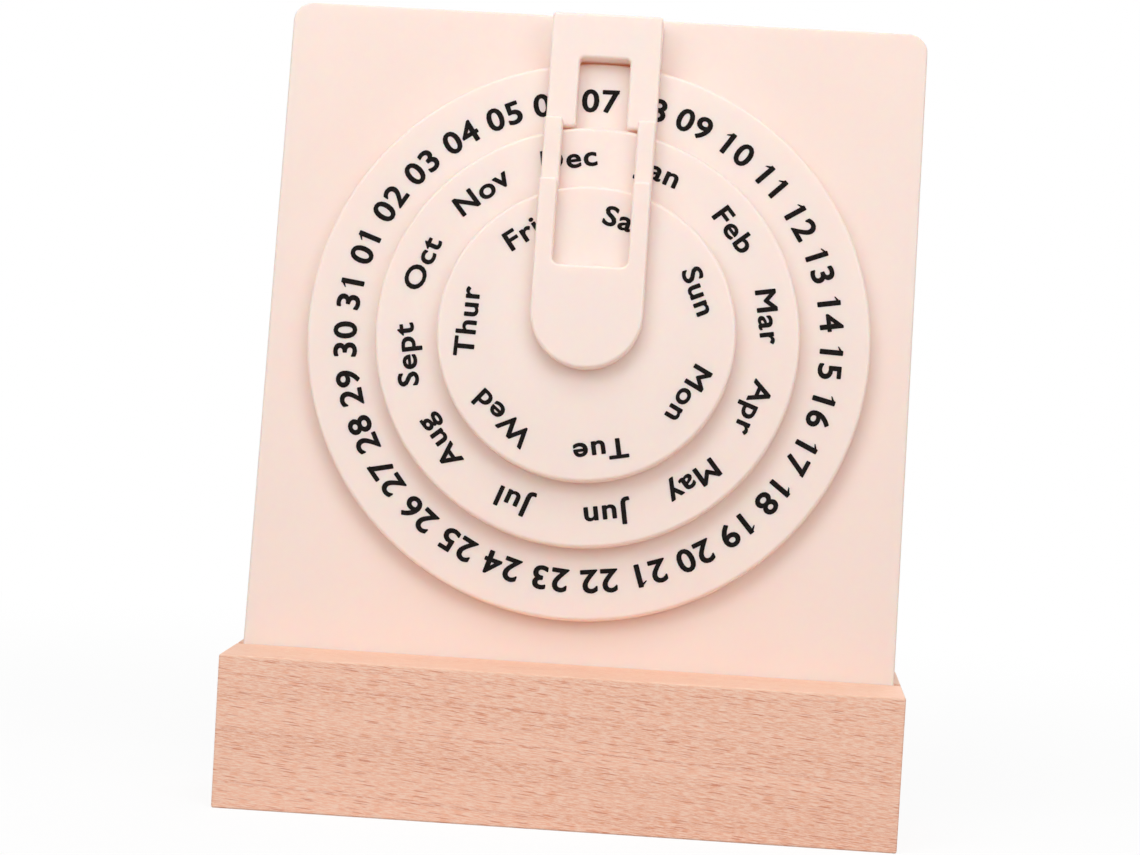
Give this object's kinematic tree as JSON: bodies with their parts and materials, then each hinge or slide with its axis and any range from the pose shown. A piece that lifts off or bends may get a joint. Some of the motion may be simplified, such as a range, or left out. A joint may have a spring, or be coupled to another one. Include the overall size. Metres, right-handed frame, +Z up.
{
  "type": "perpetual desk calendar",
  "caption": "Desk calendar: a wooden block holds a leaning plate with stacked turning dials for date, month and weekday, read through a stepped pointer's window.",
  "frame": {"origin": "centre of the wooden block's underside", "axes": "+Z up, -Y towards the front that is read, X across; the plate leans back towards +Y by 10 degrees"},
  "size_m": [0.135, 0.047, 0.163],
  "materials": {
    "beech_block": "sanded beech, unvarnished, with short dark flecks along the block",
    "plate_plastic": "pale peach moulded plastic, satin",
    "dial_plastic": "pale peach moulded plastic, satin, with black print",
    "pointer_plastic": "pale peach moulded plastic, satin",
    "bush_plastic": "white slippery plastic, turned",
    "washer_plastic": "natural nylon sheet",
    "screw_steel": "zinc-plated steel, satin",
    "print": "black printed ink"
  },
  "bodies": {
    "base": {"wooden_base": "beech_block"},
    "upright": {"back_plate": "plate_plastic", "pointer_frame": "pointer_plastic", "dial_spindle": "bush_plastic", "month_washer": "washer_plastic", "weekday_washer": "washer_plastic", "pointer_washer": "washer_plastic", "spindle_screw": "screw_steel", "spindle_screw_washer": "screw_steel", "pointer_screws": "screw_steel"},
    "date_dial": {"date_dial": "dial_plastic"},
    "month_dial": {"month_dial": "dial_plastic"},
    "weekday_dial": {"weekday_dial": "dial_plastic"}
  },
  "joints": [
    {"name": "upright_lift", "type": "slide", "parent": "base", "child": "upright", "axis": [0, 0.1736, 0.9848], "range_m": [0, 0.02]},
    {"name": "date_turn", "type": "hinge", "parent": "upright", "child": "date_dial", "pos_m": [0, 0.00688, 0.09607], "axis": [0, -0.9848, 0.1736], "continuous": true},
    {"name": "month_turn", "type": "hinge", "parent": "upright", "child": "month_dial", "pos_m": [0, 0.00314, 0.09673], "axis": [0, -0.9848, 0.1736], "continuous": true},
    {"name": "weekday_turn", "type": "hinge", "parent": "upright", "child": "weekday_dial", "pos_m": [0, -0.00061, 0.09739], "axis": [0, -0.9848, 0.1736], "continuous": true}
  ]
}
